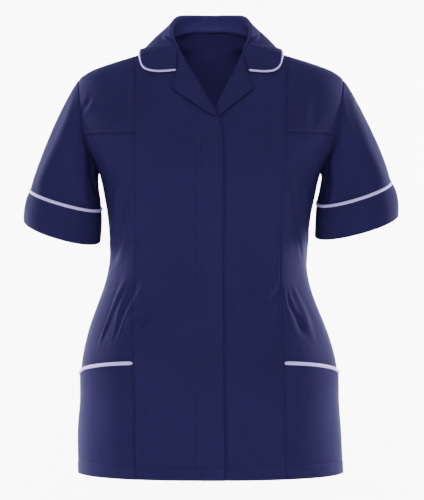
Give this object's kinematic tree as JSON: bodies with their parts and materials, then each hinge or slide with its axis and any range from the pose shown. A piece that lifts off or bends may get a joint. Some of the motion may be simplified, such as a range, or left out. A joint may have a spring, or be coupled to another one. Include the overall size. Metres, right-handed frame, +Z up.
{
  "type": "nurse uniform tunic filled out with no wearer",
  "caption": "Hip-length nurse's tunic with piped revere collar, short cuffed sleeves, concealed front and hip pockets, filled out as worn.",
  "frame": {"origin": "middle of the neck, level with the neck ends of the shoulder seams, where the wearer's shoulders hold it", "axes": "+Z up, -Y the garment's front, +X the wearer's left"},
  "size_m": [0.602, 0.2591, 0.7403],
  "materials": {
    "navy_twill": "matte",
    "lilac_piping": "matte"
  },
  "bodies": {
    "root": {"back": "navy_twill", "front_right": "navy_twill", "front_left": "navy_twill", "side_front_right_upper": "navy_twill", "side_front_left_upper": "navy_twill", "side_front_right": "navy_twill", "side_front_left": "navy_twill", "pocket_right": "navy_twill", "pocket_left": "navy_twill", "collar": "navy_twill", "lapel_right": "navy_twill", "lapel_left": "navy_twill", "sleeve_right": "navy_twill", "sleeve_left": "navy_twill", "cuff_right": "navy_twill", "cuff_left": "navy_twill", "pocket_piping_right": "lilac_piping", "pocket_piping_left": "lilac_piping", "cuff_piping_right": "lilac_piping", "cuff_piping_left": "lilac_piping", "collar_piping": "lilac_piping"}
  },
  "joints": []
}
